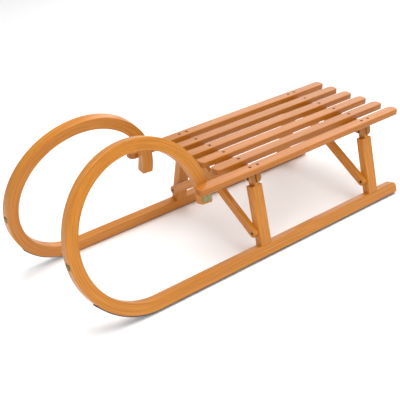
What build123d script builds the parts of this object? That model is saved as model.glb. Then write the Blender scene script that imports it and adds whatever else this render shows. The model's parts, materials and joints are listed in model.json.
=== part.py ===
"""Horned wooden toboggan: two bent side frames, two crossed trestles and a slatted seat.

+X is forward, towards the horns, +Y is the rider's left, +Z is up, in millimetres.
The origin lies on the ground, under the middle of the whole toboggan.
"""
from build123d import *
from math import asin, atan2, cos, degrees, radians, sin, sqrt
import os

# Seat
overall_length = 1010.0
seat_height = 228.0
slat_width = 30.0
slat_thickness = 15.0
slat_pitch = 53.0
slats_each_side = 3
inner_slat_length = 579.0
outer_slat_length = 670.5
slat_corner = 12.0
slat_edge = 2.5

# Side frames: runner and horn bent from one beech bar
runner_width = 23.0
runner_depth = 29.0
runner_edge = 2.0
runner_spread = 342.0
frame_lean = 12.4
tail_setback = 28.0
tail_round = 14.0
front_radius = 188.0
crown_radius = 195.0
return_radius = 193.0
return_sweep = 93.5
horn_end_edge = 1.5

# Steel rail under each runner
rail_width = 18.0
rail_thickness = 2.5
rail_sweep = 52.0
rail_tail_gap = 8.0
rail_end_gap = 10.0
rail_screw_xs = [-455.0, -195.0, 155.0]

# Trestles: a post on each runner, a yoke across, two crossed braces
front_trestle_x = -4.0
trestle_spacing = 383.0
trestle_width = 32.0
post_edge = 2.5
shoulder_edge = 1.8
neck_height = 9.0
neck_width = 12.0
neck_depth = 21.0
tenon_width = 18.0
tenon_thickness = 12.0
tenon_depth = 16.0
yoke_height = 25.0
yoke_round = 10.0
brace_width = 22.0
brace_thickness = 12.0
brace_foot_height = 66.0
brace_foot_inset = 4.0
brace_head_offset = 62.0
brace_edge = 1.5

# Steel joint plates let into the posts and yokes
plate_thickness = 4.0
plate_width = 18.0
plate_in_post = 30.0
plate_in_yoke = 20.0
pin_radius = 2.5
pin_head_radius = 4.5
pin_head_thickness = 1.5
pin_rise = 10.0

# Angle brackets that tie the horn ends to the outer slats
bracket_length = 26.0
bracket_drop = 30.0
bracket_thickness = 2.0
bracket_reach = 144.5

# Screws
screw_radius = 2.0
screw_head_radius = 4.0
screw_head_thickness = 2.5
head_recess = 0.6
seat_screw_bite = 12.0
twin_screw_gap = 23.0
brace_screw_bite = 14.0
foot_screw_bite = 24.0
small_screw_radius = 1.5
small_head_radius = 3.0
small_head_thickness = 1.2
small_screw_bite = 12.0
bracket_slat_bite = 11.0

# A screw and washer in a shallow recess in the front of each horn
front_screw_angle = 86.0
front_screw_length = 24.0
front_head_radius = 4.5
front_head_thickness = 3.0
front_washer_radius = 8.0
front_washer_thickness = 1.5
front_recess_radius = 9.0
front_recess_depth = 3.0

# Clearances
fit_gap = 0.1
lap_gap = 0.1

# Values worked out from the above
lean = radians(frame_lean)
half_width = runner_width / 2
ground_lift = max(
    rail_width / 2 * sin(lean) + rail_thickness * cos(lean),
    half_width * sin(lean),
)
tail_x = -overall_length / 2 + tail_setback
rail_reach = (front_radius + rail_thickness) * sin(radians(rail_sweep))
front_screw_stand = front_washer_thickness + front_head_thickness - front_recess_depth
front_screw_reach = (
    (front_radius + front_screw_stand) * sin(radians(front_screw_angle))
    + front_head_radius * cos(radians(front_screw_angle))
)
bend_x = overall_length / 2 - max(front_radius, rail_reach, front_screw_reach)
front_x = bend_x + front_radius
loop_x = front_x - crown_radius
loop_up = front_radius + crown_radius - return_radius
horn_end_x = loop_x - return_radius * sin(radians(return_sweep)) + runner_depth / 2
slat_rear_x = -overall_length / 2
slat_bottom = seat_height - slat_thickness
yoke_bottom = slat_bottom - yoke_height
yoke_middle = slat_bottom - yoke_height / 2
shoulder_height = yoke_bottom - neck_height
pin_height = yoke_bottom + pin_rise
brace_screw_length = brace_thickness - head_recess + brace_screw_bite
foot_screw_length = runner_depth + foot_screw_bite
seat_screw_length = slat_thickness - head_recess + seat_screw_bite
trestle_xs = {"front": front_trestle_x, "rear": front_trestle_x - trestle_spacing}
slat_offsets = [(i + 0.5) * slat_pitch for i in range(slats_each_side)]
outer_y = slat_offsets[-1]


def up_frame(z, across=0.0):
    """Distance up a leaning frame at height z, on the plane at this offset across it."""
    return (z - ground_lift - across * sin(lean)) / cos(lean)


def frame_y(z, across=0.0):
    """Half-breadth of the left frame at height z, on the plane at this offset across it."""
    return runner_spread / 2 + across * cos(lean) - up_frame(z, across) * sin(lean)


def horn_reach(up):
    """How far behind the runner's front-most point the returning horn is, at this height up."""
    return front_x - loop_x + sqrt(return_radius**2 - (up - loop_up) ** 2)


# The horn's plane is turned inward until its end lies against the outer slat's inner edge
slat_middle = seat_height - slat_thickness / 2
horn_gap = frame_y(slat_middle, half_width) - (outer_y - slat_width / 2)
horn_turn = asin(horn_gap / cos(lean) / horn_reach(up_frame(slat_middle, half_width)))

shoulder_up = up_frame(shoulder_height)
plate_top = up_frame(slat_bottom - yoke_height) + plate_in_yoke


def stand(shape):
    """Move a shape from the left frame's own axes (x, across, up) to its leaning place."""
    return Pos(0, runner_spread / 2, ground_lift) * Rot(frame_lean, 0, 0) * shape


def both_sides(shape):
    """A shape drawn on the left, together with its mirror image on the right."""
    return shape + shape.mirror(Plane.XZ)


def bent_bar(outside, inside, width, start_x, front_sweep=90.0):
    """A bar along a frame's straight run and front bend, between two distances inside its sole."""
    centre = (bend_x, front_radius)
    outer = Line((start_x, outside), (bend_x, outside))
    outer_bend = CenterArc(centre, front_radius - outside, -90, front_sweep)
    inner = Line((start_x, inside), (bend_x, inside))
    inner_bend = CenterArc(centre, front_radius - inside, -90, front_sweep)
    tail = Line(outer @ 0, inner @ 0)
    end = Line(outer_bend @ 1, inner_bend @ 1)
    lines = [outer, outer_bend, inner, inner_bend, tail, end]
    profile = Rot(90, 0, 0) * make_face([edge for line in lines for edge in line.edges()])
    return extrude(profile, width / 2, both=True)


def make_horn(grow=0.0):
    """The crown and return of a horn, in a plane turned inward about the front-most upright."""
    crown = Pos(loop_x, 0, front_radius) * Rot(90, 0, 0) * CenterArc((0, 0), crown_radius, 0, 90)
    back = Pos(loop_x, 0, loop_up) * Rot(90, 0, 0) * CenterArc((0, 0), return_radius, 90, return_sweep)
    turn = Pos(front_x, 0, 0) * Rot(0, 0, degrees(horn_turn)) * Pos(-front_x, 0, 0)
    arcs = [(turn * arc).edges()[0] for arc in (crown, back)]
    beside = [(Pos(0, runner_width, 0) * arc).edges()[0] for arc in arcs]
    section = RectangleRounded(
        runner_depth + 2 * grow, runner_width + 2 * grow, runner_edge + grow
    )
    section = Pos(front_x - runner_depth / 2, 0, front_radius) * section
    return sweep(section.faces()[0], path=Wire(arcs), binormal=Wire(beside))


def frame_box(length, across, up):
    """A box in a frame's own axes, between two distances across it and two up it."""
    size = (length, across[1] - across[0], up[1] - up[0])
    return Pos(0, (across[0] + across[1]) / 2, (up[0] + up[1]) / 2) * Box(*size)


def screw(radius, length, head_radius, head_thickness, grow=0.0, above=0.0):
    """A screw along -Z with the top of its head at the origin, or the hole that it fits."""
    low = (Align.CENTER, Align.CENTER, Align.MAX)
    head = Pos(0, 0, above) * Cylinder(head_radius + grow, head_thickness + above, align=low)
    shank = Pos(0, 0, -head_thickness) * Cylinder(
        radius + grow, length - head_thickness + grow, align=low
    )
    return head + shank


def large_screw(length, hole=False):
    grow, above = (fit_gap, 2 * head_recess) if hole else (0.0, 0.0)
    return screw(screw_radius, length, screw_head_radius, screw_head_thickness, grow, above)


def small_screw(length, hole=False):
    grow, above = (fit_gap, 2 * head_recess) if hole else (0.0, 0.0)
    return screw(small_screw_radius, length, small_head_radius, small_head_thickness, grow, above)


def yoke_pin(hole=False):
    grow, above = (fit_gap, 2 * head_recess) if hole else (0.0, 0.0)
    length = trestle_width + pin_head_thickness
    return screw(pin_radius, length, pin_head_radius, pin_head_thickness, grow, above)


def seat_screw_places(x, y):
    """The screws of the slat at this offset on one yoke: two where the yoke is slotted."""
    steps = [-twin_screw_gap / 2, twin_screw_gap / 2] if y == outer_y else [0.0]
    return [Pos(x + step, y, seat_height - head_recess) for step in steps]


def foot_screw_place(x):
    """A post's foot screw, up the middle of its frame from just above the rail."""
    return Pos(x, 0, fit_gap) * Rot(180, 0, 0)


def front_bend_place(angle, stand_off):
    """A place this far outside the front bend, at this angle round it, with -Z into the wood."""
    reach = front_radius + stand_off
    x = bend_x + reach * sin(radians(angle))
    up = front_radius - reach * cos(radians(angle))
    return Pos(x, 0, up) * Rot(0, -angle, 0) * Rot(180, 0, 0)


def rail_screw_places():
    """Screws along the rail's straight run, and one near its end on the bend."""
    places = [Pos(x, 0, -rail_thickness) * Rot(180, 0, 0) for x in rail_screw_xs]
    end_angle = rail_sweep - degrees(rail_end_gap / front_radius)
    return places + [front_bend_place(end_angle, rail_thickness)]


def front_screw(grow=0.0):
    """The screw in the front of a horn, its head standing a little proud of the wood."""
    return screw(
        screw_radius, front_screw_length, front_head_radius, front_head_thickness, grow
    )


def front_washer():
    low = front_head_thickness + front_washer_thickness
    ring = Cylinder(front_washer_radius, front_washer_thickness)
    ring -= Cylinder(screw_radius + fit_gap, 2 * front_washer_thickness)
    return Pos(0, 0, front_washer_thickness / 2 - low) * ring


def front_recess():
    """The round recess that the front screw's washer lies in, and the screw's own hole."""
    floor = Pos(0, 0, -front_screw_stand - front_recess_depth)
    upward = (Align.CENTER, Align.CENTER, Align.MIN)
    well = Cylinder(front_recess_radius, 2 * front_recess_depth, align=upward)
    return floor * well + front_screw(fit_gap)


def brace_points(side):
    """The (y, z) centres of a brace's foot on its post and head across on the yoke."""
    foot_y = frame_y(brace_foot_height) - brace_foot_inset
    return (side * foot_y, brace_foot_height), (-side * brace_head_offset, yoke_middle)


def brace_bar(side, back, front, grow=0.0):
    """A round-ended brace between two distances in front of the trestle's front face."""
    foot, head = Vector(*brace_points(side)[0]), Vector(*brace_points(side)[1])
    run = head - foot
    slope = degrees(atan2(run.Y, run.X))
    slot = SlotCenterToCenter(run.length, brace_width + 2 * grow, rotation=slope)
    middle = (foot + head) / 2
    bar = extrude(Plane.YZ * Pos(middle.X, middle.Y) * slot, front - back)
    return Pos(back, 0, 0) * bar


def brace_screw_places(side):
    """The foot and head screws of a brace, along -X from its front face."""
    x = trestle_width / 2 + brace_thickness - head_recess
    return [Pos(x, y, z) * Rot(0, 90, 0) for y, z in brace_points(side)]


def make_runner():
    bar = bent_bar(0, runner_depth, runner_width, tail_x)
    upper_tail = bar.edges().filter_by(Axis.Y).sort_by(Axis.X)[:2].sort_by(Axis.Z)[-1]
    bar = fillet(upper_tail, tail_round)
    long_edges = bar.edges().filter_by(Axis.Y, reverse=True)
    joined_end = long_edges.filter_by(Axis.X).sort_by(Axis.Z)[-2:]
    bar = fillet([edge for edge in long_edges if edge not in joined_end], runner_edge)
    horn = make_horn()
    bar += fillet(horn.faces().sort_by(Axis.Z)[0].edges(), horn_end_edge)
    for x in trestle_xs.values():
        bar -= Pos(x, 0, 0) * frame_box(
            tenon_width + 2 * fit_gap,
            (-tenon_thickness / 2 - fit_gap, tenon_thickness / 2 + fit_gap),
            (runner_depth - tenon_depth - fit_gap, runner_depth + fit_gap),
        )
        bar -= foot_screw_place(x) * large_screw(foot_screw_length, hole=True)
    for place in rail_screw_places() + [horn_screw_place()]:
        bar -= place * small_screw(small_screw_bite, hole=True)
    bar -= front_bend_place(front_screw_angle, front_screw_stand) * front_recess()
    return stand(bar)


def make_rail():
    start_x = tail_x + rail_tail_gap
    rail = bent_bar(-rail_thickness, 0, rail_width, start_x, rail_sweep)
    for place in rail_screw_places():
        rail -= place * small_screw(small_screw_bite, hole=True)
    return stand(rail)


def make_post(x):
    body = frame_box(trestle_width, (-half_width, half_width), (runner_depth, shoulder_up))
    body = fillet(body.edges().filter_by(Axis.Z), post_edge)
    body = fillet(body.faces().sort_by(Axis.Z)[-1].edges(), shoulder_edge)
    tenon = frame_box(
        tenon_width,
        (-tenon_thickness / 2, tenon_thickness / 2),
        (runner_depth - tenon_depth, runner_depth),
    )
    neck = frame_box(neck_width, (-neck_depth / 2, neck_depth / 2), (shoulder_up, plate_top))
    pocket = frame_box(
        plate_thickness + 2 * fit_gap,
        (-plate_width / 2 - fit_gap, plate_width / 2 + fit_gap),
        (shoulder_up - plate_in_post - fit_gap, plate_top + fit_gap),
    )
    post = body + tenon + neck - pocket
    post -= foot_screw_place(0) * large_screw(foot_screw_length, hole=True)
    post = stand(Pos(x, 0, 0) * post)
    above_neck = Box(
        trestle_width, 4 * runner_width, yoke_height, align=(Align.CENTER, Align.CENTER, Align.MIN)
    )
    post -= Pos(x, frame_y(yoke_bottom), yoke_bottom) * above_neck
    foot_screw = brace_screw_places(1)[0] * large_screw(brace_screw_length, hole=True)
    return post - Pos(x, 0, 0) * foot_screw


def yoke_pin_place(x):
    """A pin along -X through the yoke and the joint plate, its head on the front face."""
    front = x + trestle_width / 2 + pin_head_thickness
    return Pos(front, frame_y(pin_height), pin_height) * Rot(0, 90, 0)


def make_plate(x):
    plate = frame_box(
        plate_thickness,
        (-plate_width / 2, plate_width / 2),
        (shoulder_up - plate_in_post, plate_top),
    )
    return stand(Pos(x, 0, 0) * plate) - yoke_pin_place(x) * yoke_pin(hole=True)


def make_yoke(x):
    profile = Rectangle(trestle_width, yoke_height)
    profile = fillet(profile.vertices().group_by(Axis.Y)[0], yoke_round)
    bar = extrude(Plane.XZ * profile, runner_spread / 2, both=True)
    bar = Pos(x, 0, slat_bottom - yoke_height / 2) * bar
    beyond = frame_box(
        2 * trestle_width, (half_width, half_width + runner_spread), (0, 2 * seat_height)
    )
    kerf = frame_box(
        plate_thickness + 2 * fit_gap,
        (-plate_width / 2 - fit_gap, half_width + fit_gap),
        (shoulder_up, plate_top + fit_gap),
    )
    bar -= both_sides(stand(Pos(x, 0, 0) * beyond))
    bar -= both_sides(stand(Pos(x, 0, 0) * kerf))
    bar -= both_sides(yoke_pin_place(x) * yoke_pin(hole=True))
    head_screw = brace_screw_places(1)[1] * large_screw(brace_screw_length, hole=True)
    bar -= both_sides(Pos(x, 0, 0) * head_screw)
    for y in slat_offsets:
        for place in seat_screw_places(x, y):
            bar -= both_sides(place * large_screw(seat_screw_length, hole=True))
    return bar


def make_brace(x, side):
    """One brace of a crossed pair: the left one lies in front where they are half-lapped."""
    face = trestle_width / 2
    bar = brace_bar(side, face, face + brace_thickness)
    bar = fillet(bar.faces().sort_by(Axis.X)[-1].edges(), brace_edge)
    half = face + brace_thickness / 2
    if side > 0:
        bar -= brace_bar(-side, face - lap_gap, half + lap_gap / 2, lap_gap)
    else:
        bar -= brace_bar(-side, half - lap_gap / 2, face + brace_thickness + lap_gap, lap_gap)
    for place in brace_screw_places(side):
        bar -= place * large_screw(brace_screw_length, hole=True)
    return Pos(x, 0, 0) * bar


def make_slat(y):
    length = outer_slat_length if y == outer_y else inner_slat_length
    slat = extrude(RectangleRounded(length, slat_width, slat_corner), slat_thickness)
    slat = fillet(slat.faces().sort_by(Axis.Z)[-1].edges(), slat_edge)
    slat = fillet(slat.faces().sort_by(Axis.Z)[0].edges(), slat_edge)
    slat = Pos(slat_rear_x + length / 2, y, slat_bottom) * slat
    for x in trestle_xs.values():
        for place in seat_screw_places(x, y):
            slat -= place * large_screw(seat_screw_length, hole=True)
    return slat


def notch_outer_slat(slat):
    """Let the horn's end a little into the slat, and bore for the bracket's screw."""
    slat -= stand(make_horn(fit_gap))
    return slat - bracket_slat_place() * small_screw(bracket_slat_bite, hole=True)


def horn_face(up):
    """How far across the frame the returning horn's outer face is, at this height up."""
    return half_width - horn_reach(up) * sin(horn_turn)


# The bracket's tall leg stands on the horn's outer face, which is furthest out under the slat
bracket_up = up_frame(slat_bottom, half_width)
bracket_across = horn_face(bracket_up) + fit_gap


def horn_screw_place():
    """The bracket's screw into the horn's outer face, in the frame's own axes."""
    up = up_frame(slat_bottom - bracket_drop / 2 - bracket_thickness, bracket_across)
    return Pos(horn_end_x, bracket_across + bracket_thickness, up) * Rot(-90, 0, 0)


def bracket_slat_place():
    """The bracket's screw up into the outer slat."""
    y = (frame_y(slat_bottom, bracket_across) + bracket_reach) / 2
    return Pos(horn_end_x, y, slat_bottom - bracket_thickness) * Rot(180, 0, 0)


def make_bracket():
    """A steel angle: one leg down the horn's outer face, one out under the slat."""
    low = slat_bottom - bracket_drop
    skin = bracket_across + bracket_thickness
    under = slat_bottom - bracket_thickness
    points = [
        (frame_y(slat_bottom, bracket_across), slat_bottom),
        (bracket_reach, slat_bottom),
        (bracket_reach, under),
        (frame_y(under, skin), under),
        (frame_y(low, skin), low),
        (frame_y(low, bracket_across), low),
    ]
    profile = Plane.YZ * make_face(Polyline(*points, close=True).edges())
    bracket = Pos(horn_end_x, 0, 0) * extrude(profile, bracket_length / 2, both=True)
    bracket -= stand(horn_screw_place() * small_screw(small_screw_bite, hole=True))
    return bracket - bracket_slat_place() * small_screw(bracket_slat_bite, hole=True)


nodes = {}


def add_pair(name, shape):
    """A left node, and its mirror image as the right one."""
    nodes["left_" + name] = shape
    nodes["right_" + name] = shape.mirror(Plane.XZ)


def add_group(name, solids):
    """Identical fasteners, drawn on the left and mirrored, as separate solids of one node."""
    mirrored = [solid.mirror(Plane.XZ) for solid in solids]
    nodes[name] = Compound(children=[s for shape in solids + mirrored for s in shape.solids()])


add_pair("runner", make_runner())
add_pair("runner_rail", make_rail())
for name, x in trestle_xs.items():
    nodes[name + "_yoke"] = make_yoke(x)
    add_pair(name + "_post", make_post(x))
    add_pair(name + "_joint_plate", make_plate(x))
    nodes["left_" + name + "_brace"] = make_brace(x, 1)
    nodes["right_" + name + "_brace"] = make_brace(x, -1)
for name, y in zip(["centre", "middle", "outer"], slat_offsets):
    slat = make_slat(y)
    add_pair(name + "_slat", notch_outer_slat(slat) if y == outer_y else slat)
add_pair("horn_bracket", make_bracket())

xs = list(trestle_xs.values())
seat_places = [place for y in slat_offsets for x in xs for place in seat_screw_places(x, y)]
brace_places = [Pos(x, 0, 0) * place for x in xs for place in brace_screw_places(1)]
add_group("seat_screws", [place * large_screw(seat_screw_length) for place in seat_places])
add_group("brace_screws", [place * large_screw(brace_screw_length) for place in brace_places])
add_group("post_foot_screws", [stand(foot_screw_place(x) * large_screw(foot_screw_length)) for x in xs])
add_group("yoke_pins", [yoke_pin_place(x) * yoke_pin() for x in xs])
add_group("rail_screws", [stand(place * small_screw(small_screw_bite)) for place in rail_screw_places()])
front_place = front_bend_place(front_screw_angle, front_screw_stand)
add_group("horn_front_screws", [stand(front_place * front_screw())])
add_group("horn_front_washers", [stand(front_place * front_washer())])
add_group("horn_bracket_screws", [stand(horn_screw_place() * small_screw(small_screw_bite))])
add_group("slat_bracket_screws", [bracket_slat_place() * small_screw(bracket_slat_bite)])

os.makedirs("parts", exist_ok=True)
for name, shape in nodes.items():
    export_step(shape, "parts/" + name + ".step")
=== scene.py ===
"""Looks for the wooden toboggan: varnished beech, steel strip, screws, a pale studio and a camera.

Everything is in metres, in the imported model's own frame: +X forward, +Y the rider's left, +Z up.
"""
import json
from math import cos, dist, radians, sin, tau

import bmesh
import bpy
import numpy as np
from mathutils import Matrix, Vector


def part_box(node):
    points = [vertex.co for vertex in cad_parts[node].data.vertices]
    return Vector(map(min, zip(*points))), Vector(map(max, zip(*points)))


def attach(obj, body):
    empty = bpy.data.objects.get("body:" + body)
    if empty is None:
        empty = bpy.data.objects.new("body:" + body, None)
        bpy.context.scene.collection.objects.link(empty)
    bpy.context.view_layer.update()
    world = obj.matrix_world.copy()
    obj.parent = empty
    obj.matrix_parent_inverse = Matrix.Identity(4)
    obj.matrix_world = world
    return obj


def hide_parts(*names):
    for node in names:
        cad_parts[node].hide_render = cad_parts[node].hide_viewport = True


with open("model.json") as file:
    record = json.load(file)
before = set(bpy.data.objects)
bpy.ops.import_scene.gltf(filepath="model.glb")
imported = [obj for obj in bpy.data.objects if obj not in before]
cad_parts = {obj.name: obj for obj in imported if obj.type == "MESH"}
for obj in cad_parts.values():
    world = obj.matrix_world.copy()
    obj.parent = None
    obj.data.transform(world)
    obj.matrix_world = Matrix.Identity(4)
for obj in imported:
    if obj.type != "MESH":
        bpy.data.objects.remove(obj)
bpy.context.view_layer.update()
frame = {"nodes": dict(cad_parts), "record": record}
nodes = frame["nodes"]
slots = {part["node"]: part["material_slot"] for part in frame["record"]["subparts"]}

MM = 0.001

# Camera
CAMERA_TARGET = Vector((0.0522, -0.0034, 0.1062))
CAMERA_DISTANCE = 2.0615
CAMERA_AZIMUTH = radians(142.14)
CAMERA_ELEVATION = radians(28.32)
CAMERA_ROLL = radians(-2.91)
CAMERA_LENS = 75.6

# Side frames, as the CAD model has them
FRAME_LEAN = radians(12.4)
RUNNER_WIDTH = 23 * MM

# Wood colours, linear: the darker and the lighter streaks of the grain
FRAME_DARK = (0.42, 0.138, 0.010)
FRAME_LIGHT = (0.57, 0.222, 0.024)
SLAT_DARK = (0.34, 0.104, 0.007)
SLAT_LIGHT = (0.47, 0.165, 0.016)
FLECK = (0.20, 0.055, 0.004)
END_GRAIN = (0.25, 0.075, 0.004)
FRAME_SHEEN = 0.25
SLAT_SHEEN = 0.2

# Grain: features to the metre, along it and across it
WANDER_GRAIN = (2.0, 14.0)
STREAK_GRAIN = (6.0, 330.0)
PORE_GRAIN = (26.0, 1500.0)
FLECK_GRAIN = (260.0, 2100.0)

# Growth rings: radians to the metre up and across a piece, and how far the grain's wander bends them
RING_UP = 620.0
RING_ACROSS = 260.0
RING_WANDER = 34.0

# How strongly each pattern shows
RING_WEIGHT = 0.10
PORE_WEIGHT = 0.5
WANDER_WEIGHT = 0.45
FLECK_WEIGHT = 0.45
END_WEIGHT = 0.55

# Varnish and relief
WOOD_ROUGHNESS = (0.44, 0.32)
WOOD_SPECULAR = 0.25
VARNISH_ROUGHNESS = 0.2
VARNISH_IOR = 1.5
WOOD_BUMP = 0.35
WOOD_RELIEF = 0.12 * MM
METAL_BUMP = 0.25
METAL_RELIEF = 0.05 * MM
SEED_STEP = 17.0

# Screw heads: the recess is in shares of the head's radius or thickness
HEAD_SEGMENTS = 48
RECESS_REACH = 0.50
RECESS_HALF_WIDTH = 0.13
RECESS_DEPTH = 0.55
RECESS_TAPER = 0.7
SAME_POINT = 0.001 * MM
SHARP_ANGLE = radians(35)

# Studio
FLOOR_SPAN = 12.0
FLOOR_GREY = 0.92
SURROUND_STRENGTH = 0.55
LIGHT_TARGET = (0.0, 0.0, 0.15)
LIGHTS = {
    "overhead": {"place": (-0.3, 0.3, 2.6), "size": 2.4, "power": 75.0},
    "front_left": {"place": (2.1, 2.0, 1.2), "size": 1.6, "power": 26.0},
    "sheen": {"place": (-2.4, -1.8, 1.6), "size": 2.0, "power": 22.0},
}


def set_input(socket, value):
    """Link another node's socket, or set a constant."""
    if isinstance(value, bpy.types.NodeSocket):
        socket.id_data.links.new(value, socket)
    else:
        socket.default_value = value


def make_node(tree, kind, inputs=None, **settings):
    """A shader node of this kind, with its settings, and its inputs by name or index."""
    made = tree.nodes.new("ShaderNode" + kind)
    for name, value in settings.items():
        setattr(made, name, value)
    for key, value in (inputs or {}).items():
        set_input(made.inputs[key], value)
    return made


def calc(tree, operation, *values):
    """The result of one Math node."""
    made = make_node(tree, "Math", dict(enumerate(values)), operation=operation)
    return made.outputs[0]


def dot(tree, vector, direction):
    """A vector's length along a fixed direction."""
    made = make_node(tree, "VectorMath", {0: vector, 1: tuple(direction)}, operation="DOT_PRODUCT")
    return made.outputs["Value"]


def ramp(tree, factor, low, high, start, end):
    """Map a range of a factor smoothly onto another range."""
    limits = {"Value": factor, "From Min": low, "From Max": high, "To Min": start, "To Max": end}
    made = make_node(tree, "MapRange", limits, interpolation_type="SMOOTHSTEP")
    return made.outputs["Result"]


def mix_colour(tree, factor, first, second, blend="MIX"):
    """Mix two colours."""
    made = make_node(tree, "Mix", data_type="RGBA", blend_type=blend)
    made.clamp_factor = True
    for key, value in (("Factor_Float", factor), ("A_Color", first), ("B_Color", second)):
        socket = next(s for s in made.inputs if s.identifier == key)
        set_input(socket, value if isinstance(value, (float, bpy.types.NodeSocket)) else (*value, 1))
    return next(s for s in made.outputs if s.identifier == "Result_Color")


def noise(tree, vector, scale, detail, seed, roughness=0.55, distortion=0.0):
    """A noise pattern, from 0 to 1, with a seed of its own."""
    inputs = {
        "Vector": vector, "W": seed, "Scale": scale, "Detail": detail,
        "Roughness": roughness, "Distortion": distortion,
    }
    return make_node(tree, "TexNoise", inputs, noise_dimensions="4D").outputs["Fac"]


def stretched(tree, parts, along, across):
    """Grain coordinates with so many features to the metre along the grain and across it."""
    scaled = [calc(tree, "MULTIPLY", part, s) for part, s in zip(parts, (along, across, across))]
    return make_node(tree, "CombineXYZ", dict(enumerate(scaled))).outputs[0]


def straight_grain(direction):
    """Grain coordinates of a straight piece, with its grain along this direction."""
    along = Vector(direction).normalized()
    side = along.orthogonal().normalized()
    axes = (along, side, along.cross(side))

    def parts(tree):
        place = make_node(tree, "TexCoord").outputs["Object"]
        return [dot(tree, place, axis) for axis in axes]

    return parts


def bent_grain(name):
    """Grain coordinates of a runner: straight along its sole, then round its bend."""
    low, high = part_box(name)
    spread = max(abs(low.y), abs(high.y)) - RUNNER_WIDTH / 2 * cos(FRAME_LEAN)
    radius = high.z / cos(FRAME_LEAN) / 2
    centre_x = high.x - radius
    side = 1.0 if high.y > 0 else -1.0
    up_axis = (0.0, -side * sin(FRAME_LEAN), cos(FRAME_LEAN))
    across_axis = (0.0, side * cos(FRAME_LEAN), sin(FRAME_LEAN))
    lift = spread * sin(FRAME_LEAN)

    def parts(tree):
        place = make_node(tree, "TexCoord").outputs["Object"]
        x = calc(tree, "SUBTRACT", dot(tree, place, (1, 0, 0)), centre_x)
        up = calc(tree, "ADD", dot(tree, place, up_axis), lift)
        across = dot(tree, place, across_axis)
        drop = calc(tree, "SUBTRACT", radius, up)
        behind = calc(tree, "LESS_THAN", x, 0.0)
        straight = calc(tree, "MULTIPLY", behind, calc(tree, "LESS_THAN", up, radius / 2))
        turn = calc(tree, "ARCTAN2", x, drop)
        turn = calc(tree, "ADD", turn, calc(tree, "MULTIPLY", behind, tau))
        reach = calc(tree, "SQRT", calc(tree, "ADD", calc(tree, "POWER", x, 2.0),
                                        calc(tree, "POWER", drop, 2.0)))
        round_parts = [calc(tree, "MULTIPLY", turn, radius), calc(tree, "SUBTRACT", radius, reach)]
        chosen = []
        for flat, bent in zip((x, up), round_parts):
            step = calc(tree, "MULTIPLY", straight, calc(tree, "SUBTRACT", flat, bent))
            chosen.append(calc(tree, "ADD", bent, step))
        return [chosen[0], chosen[1], across]

    return parts


def end_mask(tree, direction):
    """1 where a surface is cut across the grain, 0 along it."""
    normal = make_node(tree, "NewGeometry").outputs["Normal"]
    return ramp(tree, calc(tree, "ABSOLUTE", dot(tree, normal, direction)), 0.6, 0.95, 0.0, 1.0)


def wood(name, grain, dark, light, seed, cut_direction=None, tone=1.0, sheen=FRAME_SHEEN):
    """Clear-varnished beech, with its streaks, pale rings, short brown flecks and fine pores."""
    material = bpy.data.materials.new(name)
    material.use_nodes = True
    tree = material.node_tree
    shader = tree.nodes["Principled BSDF"]
    parts = grain(tree)

    wander = noise(tree, stretched(tree, parts, *WANDER_GRAIN), 1.0, 2.0, seed)
    rings = calc(tree, "ADD", calc(tree, "MULTIPLY", parts[1], RING_UP),
                 calc(tree, "MULTIPLY", parts[2], RING_ACROSS))
    rings = calc(tree, "SINE", calc(tree, "ADD", rings, calc(tree, "MULTIPLY", wander, RING_WANDER)))
    streaks = noise(tree, stretched(tree, parts, *STREAK_GRAIN), 1.0, 5.0, seed + 3.7, 0.62)
    fine = noise(tree, stretched(tree, parts, *PORE_GRAIN), 1.0, 3.0, seed + 8.1)
    flecks = noise(tree, stretched(tree, parts, *FLECK_GRAIN), 1.0, 2.0, seed + 12.9)

    pale = calc(tree, "MULTIPLY", rings, RING_WEIGHT)
    pale = calc(tree, "ADD", pale, ramp(tree, streaks, 0.25, 0.75, 0.0, 1.0))
    for pattern, weight in ((fine, PORE_WEIGHT), (wander, WANDER_WEIGHT)):
        centred = calc(tree, "SUBTRACT", pattern, 0.5)
        pale = calc(tree, "ADD", pale, calc(tree, "MULTIPLY", centred, weight))
    shade = [tuple(tone * c for c in colour) for colour in (dark, light)]
    colour = mix_colour(tree, pale, shade[0], shade[1])
    fleck_mask = calc(tree, "MULTIPLY", ramp(tree, flecks, 0.62, 0.74, 0.0, 1.0), FLECK_WEIGHT)
    colour = mix_colour(tree, fleck_mask, colour, FLECK)
    if cut_direction:
        cut = end_mask(tree, cut_direction)
        colour = mix_colour(tree, calc(tree, "MULTIPLY", cut, END_WEIGHT), colour, END_GRAIN)
    set_input(shader.inputs["Base Color"], colour)

    set_input(shader.inputs["Roughness"], ramp(tree, streaks, 0.2, 0.8, *WOOD_ROUGHNESS))
    shader.inputs["Specular IOR Level"].default_value = WOOD_SPECULAR
    shader.inputs["Coat Weight"].default_value = sheen
    shader.inputs["Coat Roughness"].default_value = VARNISH_ROUGHNESS
    shader.inputs["Coat IOR"].default_value = VARNISH_IOR
    height = calc(tree, "ADD", calc(tree, "MULTIPLY", fine, 0.5), calc(tree, "MULTIPLY", streaks, 0.5))
    height = calc(tree, "SUBTRACT", height, calc(tree, "MULTIPLY", fleck_mask, 0.6))
    relief = {"Height": height, "Strength": WOOD_BUMP, "Distance": WOOD_RELIEF}
    set_input(shader.inputs["Normal"], make_node(tree, "Bump", relief).outputs[0])
    return material


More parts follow.
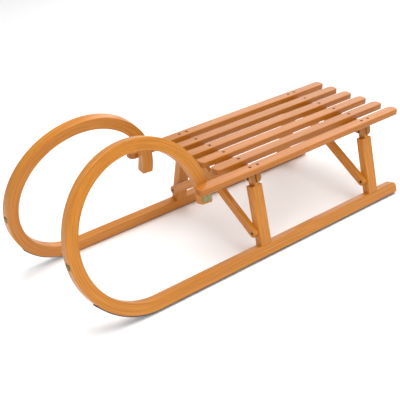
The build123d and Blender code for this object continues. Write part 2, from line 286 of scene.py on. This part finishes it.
def metal(name, dark, light, roughness, brushed=(60.0, 60.0, 60.0), seed=0.0):
    """Dull metal: brushed or tumbled, with a mottled tint."""
    material = bpy.data.materials.new(name)
    material.use_nodes = True
    tree = material.node_tree
    shader = tree.nodes["Principled BSDF"]
    place = make_node(tree, "TexCoord").outputs["Object"]
    lines = make_node(tree, "Mapping", {"Vector": place, "Scale": brushed}).outputs[0]
    scratch = noise(tree, lines, 1.0, 4.0, seed)
    blotch = noise(tree, place, 90.0, 3.0, seed + 5.0)
    tint = calc(tree, "ADD", calc(tree, "MULTIPLY", scratch, 0.5), calc(tree, "MULTIPLY", blotch, 0.5))
    colour = mix_colour(tree, ramp(tree, tint, 0.35, 0.65, 0.0, 1.0), dark, light)
    set_input(shader.inputs["Base Color"], colour)
    shader.inputs["Metallic"].default_value = 1.0
    rough = ramp(tree, scratch, 0.3, 0.7, roughness - 0.07, roughness + 0.09)
    set_input(shader.inputs["Roughness"], rough)
    relief = {"Height": scratch, "Strength": METAL_BUMP, "Distance": METAL_RELIEF}
    set_input(shader.inputs["Normal"], make_node(tree, "Bump", relief).outputs[0])
    return material


def dress(name, material):
    """Give a CAD node its material."""
    mesh = nodes[name].data
    mesh.materials.clear()
    mesh.materials.append(material)


def longest_edge_direction(name):
    """The direction in which a straight CAD node is longest, from its own vertices."""
    points = [v.co for v in nodes[name].data.vertices]
    centre = sum(points, Vector()) / len(points)
    far = max(points, key=lambda p: (p - centre).length)
    ends = [p for p in points if (p - centre).dot(far - centre) > 0.85 * (far - centre).length_squared]
    return (sum(ends, Vector()) / len(ends) - centre).normalized()


def dress_wood():
    """Each wooden node gets its own grain, so no two pieces look cut from one pattern."""
    seed = 1.3
    for side in ("left", "right"):
        name = side + "_runner"
        dress(name, wood(name + "_beech", bent_grain(name), FRAME_DARK, FRAME_LIGHT, seed))
        seed += SEED_STEP
    tones = {"centre": 1.0, "middle": 0.96, "outer": 1.03}
    for row, tone in tones.items():
        for side in ("left", "right"):
            name = side + "_" + row + "_slat"
            x_axis = (1, 0, 0)
            made = wood(name + "_beech", straight_grain(x_axis), SLAT_DARK, SLAT_LIGHT, seed, x_axis, tone,
                        SLAT_SHEEN)
            dress(name, made)
            seed += SEED_STEP
            tone -= 0.05
    for end in ("front", "rear"):
        name = end + "_yoke"
        y_axis = (0, 1, 0)
        dress(name, wood(name + "_beech", straight_grain(y_axis), FRAME_DARK, FRAME_LIGHT, seed, y_axis))
        seed += SEED_STEP
        for side in ("left", "right"):
            for part in ("post", "brace"):
                name = "_".join((side, end, part))
                along = longest_edge_direction(name)
                made = wood(name + "_beech", straight_grain(along), FRAME_DARK, FRAME_LIGHT, seed, along)
                dress(name, made)
                seed += SEED_STEP


def make_metals():
    """A metal for each of the record's metal slots."""
    along_rail = (8.0, 900.0, 900.0)
    return {
        # The rail's steel is near black: a dark steel, darkened further as painted shade for the shadow
        # along the runner's sole.
        "rail_steel": metal("rail_steel", (0.05, 0.05, 0.053), (0.14, 0.14, 0.145), 0.42, along_rail),
        "plate_steel": metal("plate_steel", (0.06, 0.055, 0.05), (0.13, 0.12, 0.11), 0.5, seed=3.0),
        "screw_steel": metal("bronzed_steel", (0.055, 0.035, 0.022), (0.14, 0.09, 0.06), 0.4, seed=7.0),
        "zinc": metal("yellow_zinc", (0.22, 0.19, 0.08), (0.36, 0.32, 0.17), 0.36, seed=11.0),
    }


def dress_metal(metals):
    """Every node with a metal slot takes that slot's metal."""
    for name, slot in slots.items():
        if slot in metals:
            dress(name, metals[slot])


def separate_solids(name):
    """The vertices of each separate solid in a CAD node, in the order of its mesh."""
    mesh = bmesh.new()
    mesh.from_mesh(nodes[name].data)
    bmesh.ops.remove_doubles(mesh, verts=mesh.verts, dist=SAME_POINT)
    mesh.verts.index_update()
    seen = set()
    solids = []
    for first in mesh.verts:
        if first.index in seen:
            continue
        seen.add(first.index)
        waiting, points = [first], []
        while waiting:
            vert = waiting.pop()
            points.append(tuple(vert.co))
            for edge in vert.link_edges:
                other = edge.other_vert(vert)
                if other.index not in seen:
                    seen.add(other.index)
                    waiting.append(other)
        solids.append(np.array(points))
    mesh.free()
    return solids


def measure_screw(points):
    """Where a screw's head is, which way it faces, and its sizes, from its vertices."""
    middle = points.mean(axis=0)
    axis = np.linalg.svd(points - middle, full_matrices=False)[2][0]
    along = (points - middle) @ axis
    reach = np.linalg.norm(points - middle - np.outer(along, axis), axis=1)
    if along[reach.argmax()] < 0:
        axis, along = -axis, -along
    wide = reach > 0.9 * reach.max()
    return {
        "top": Vector(middle + axis * along.max()),
        "facing": Vector(axis),
        "head": reach.max(),
        "thickness": along.max() - along[wide].min(),
        "shank": reach[along < along.min() + SAME_POINT].max(),
        "length": along.max() - along.min(),
    }


def head_outline(sizes, form):
    """(radius, height) down a screw, from the flat of its head to its tip, with no point twice."""
    head, thick, shank = sizes["head"], sizes["thickness"], sizes["shank"]
    tip = [(shank, 1.5 * shank - sizes["length"]), (0.2 * shank, -sizes["length"])]
    if form == "sunk":
        top = [(0.88 * head, 0), (0.96 * head, -0.03 * head), (head, -0.10 * head), (head, -0.25 * thick)]
    else:
        top = [(0.60 * head, 0), (0.80 * head, -0.12 * thick), (0.94 * head, -0.36 * thick),
               (head, -0.65 * thick), (head, -thick)]
    points = top + [(shank, -thick)] + tip
    pairs = zip(points, points[1:])
    return points[:1] + [after for before, after in pairs if dist(before, after) > SAME_POINT]


def cross_outline(reach, half):
    """The twelve corners of a cross, in order round it."""
    arm = [Vector((reach, -half)), Vector((reach, half)), Vector((half, half))]
    return [Matrix.Rotation(quarter * tau / 4, 2) @ corner for quarter in range(4) for corner in arm]


def join_loops(mesh, first, second):
    """A band of faces between two loops with as many vertices."""
    for i, vert in enumerate(first):
        after = (i + 1) % len(first)
        mesh.faces.new((vert, second[i], second[after], first[after]))


def loop_edges(mesh, loop):
    """The edges round a loop of vertices."""
    pairs = zip(loop, loop[1:] + loop[:1])
    return [mesh.edges.get(pair) or mesh.edges.new(pair) for pair in pairs]


def add_screw(mesh, sizes, form, recess):
    """One turned screw, with a cross recess in its head or a plain top."""
    loops = []
    for radius, height in head_outline(sizes, form):
        turns = [i * tau / HEAD_SEGMENTS for i in range(HEAD_SEGMENTS)]
        loops.append([mesh.verts.new((radius * cos(t), radius * sin(t), height)) for t in turns])
    for upper, lower in zip(loops, loops[1:]):
        join_loops(mesh, upper, lower)
    mesh.faces.new(loops[-1])
    if recess:
        outline = cross_outline(RECESS_REACH * sizes["head"], RECESS_HALF_WIDTH * sizes["head"])
        depth = -RECESS_DEPTH * sizes["thickness"]
        rim = [mesh.verts.new((*corner, 0)) for corner in outline]
        floor = [mesh.verts.new((*(RECESS_TAPER * corner), depth)) for corner in outline]
        edges = loop_edges(mesh, loops[0]) + loop_edges(mesh, rim)
        bmesh.ops.triangle_fill(mesh, use_beauty=True, edges=edges, normal=(0, 0, 1))
        join_loops(mesh, rim, floor)
        mesh.faces.new(floor)
    else:
        mesh.faces.new(loops[0])
    made = [vert for loop in loops for vert in loop]
    made += rim + floor if recess else []
    turn = sizes["facing"].to_track_quat("Z", "Y").to_matrix().to_4x4()
    bmesh.ops.transform(mesh, matrix=Matrix.Translation(sizes["top"]) @ turn, verts=made)


def make_screws(name, metals, form="sunk", recess=True):
    """Turned screws in place of a CAD node's plain ones, at the same places and sizes."""
    mesh = bmesh.new()
    for points in separate_solids(name):
        add_screw(mesh, measure_screw(points), form, recess)
    bmesh.ops.recalc_face_normals(mesh, faces=mesh.faces)
    data = bpy.data.meshes.new(name + "_turned")
    mesh.to_mesh(data)
    mesh.free()
    data.shade_smooth()
    data.set_sharp_from_angle(angle=SHARP_ANGLE)
    data.materials.append(metals[slots[name]])
    piece = bpy.data.objects.new(name + "_turned", data)
    bpy.context.scene.collection.objects.link(piece)
    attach(piece, "root")
    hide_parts(name)


def add_camera():
    """The photograph's own viewpoint: from in front on the left, a little above, slightly rolled."""
    a, e, r = CAMERA_AZIMUTH, CAMERA_ELEVATION, CAMERA_ROLL
    back = Vector((sin(a) * cos(e), -cos(a) * cos(e), sin(e)))
    level = Vector((cos(a), sin(a), 0))
    upright = back.cross(level)
    right = level * cos(r) + upright * sin(r)
    up = upright * cos(r) - level * sin(r)
    turn = Matrix((right, up, back)).transposed().to_4x4()
    data = bpy.data.cameras.new("camera")
    data.lens = CAMERA_LENS
    data.sensor_width = 36.0
    camera = bpy.data.objects.new("camera", data)
    camera.matrix_world = Matrix.Translation(CAMERA_TARGET + back * CAMERA_DISTANCE) @ turn
    bpy.context.scene.collection.objects.link(camera)
    bpy.context.scene.camera = camera


def add_area_light(name, place, target, size, power):
    """A square soft light at a place, facing a target."""
    data = bpy.data.lights.new(name, "AREA")
    data.shape = "SQUARE"
    data.size = size
    data.energy = power
    light = bpy.data.objects.new(name, data)
    light.location = place
    light.rotation_mode = "QUATERNION"
    light.rotation_quaternion = (Vector(target) - Vector(place)).to_track_quat("-Z", "Y")
    bpy.context.scene.collection.objects.link(light)


def add_studio():
    """A white floor, a white surround and three soft lights."""
    mesh = bpy.data.meshes.new("floor")
    s = FLOOR_SPAN
    corners = [(-s, -s, 0), (s, -s, 0), (s, s, 0), (-s, s, 0)]
    mesh.from_pydata(corners, [], [(0, 1, 2, 3)])
    floor = bpy.data.objects.new("floor", mesh)
    bpy.context.scene.collection.objects.link(floor)
    paint = bpy.data.materials.new("floor_white")
    paint.use_nodes = True
    shader = paint.node_tree.nodes["Principled BSDF"]
    shader.inputs["Base Color"].default_value = (FLOOR_GREY, FLOOR_GREY, FLOOR_GREY, 1)
    shader.inputs["Roughness"].default_value = 0.9
    shader.inputs["Specular IOR Level"].default_value = 0.1
    mesh.materials.append(paint)

    world = bpy.data.worlds.new("surround")
    world.use_nodes = True
    background = world.node_tree.nodes["Background"]
    background.inputs["Color"].default_value = (1.0, 1.0, 1.0, 1)
    background.inputs["Strength"].default_value = SURROUND_STRENGTH
    bpy.context.scene.world = world

    for name, light in LIGHTS.items():
        add_area_light(name, light["place"], LIGHT_TARGET, light["size"], light["power"])


add_camera()
add_studio()
dress_wood()
metals = make_metals()
dress_metal(metals)
for name in ("seat_screws", "brace_screws", "post_foot_screws", "rail_screws"):
    make_screws(name, metals)
for name in ("horn_front_screws", "horn_bracket_screws", "slat_bracket_screws"):
    make_screws(name, metals, "domed")
make_screws("yoke_pins", metals, "domed", recess=False)
bpy.context.scene.view_settings.view_transform = "Standard"
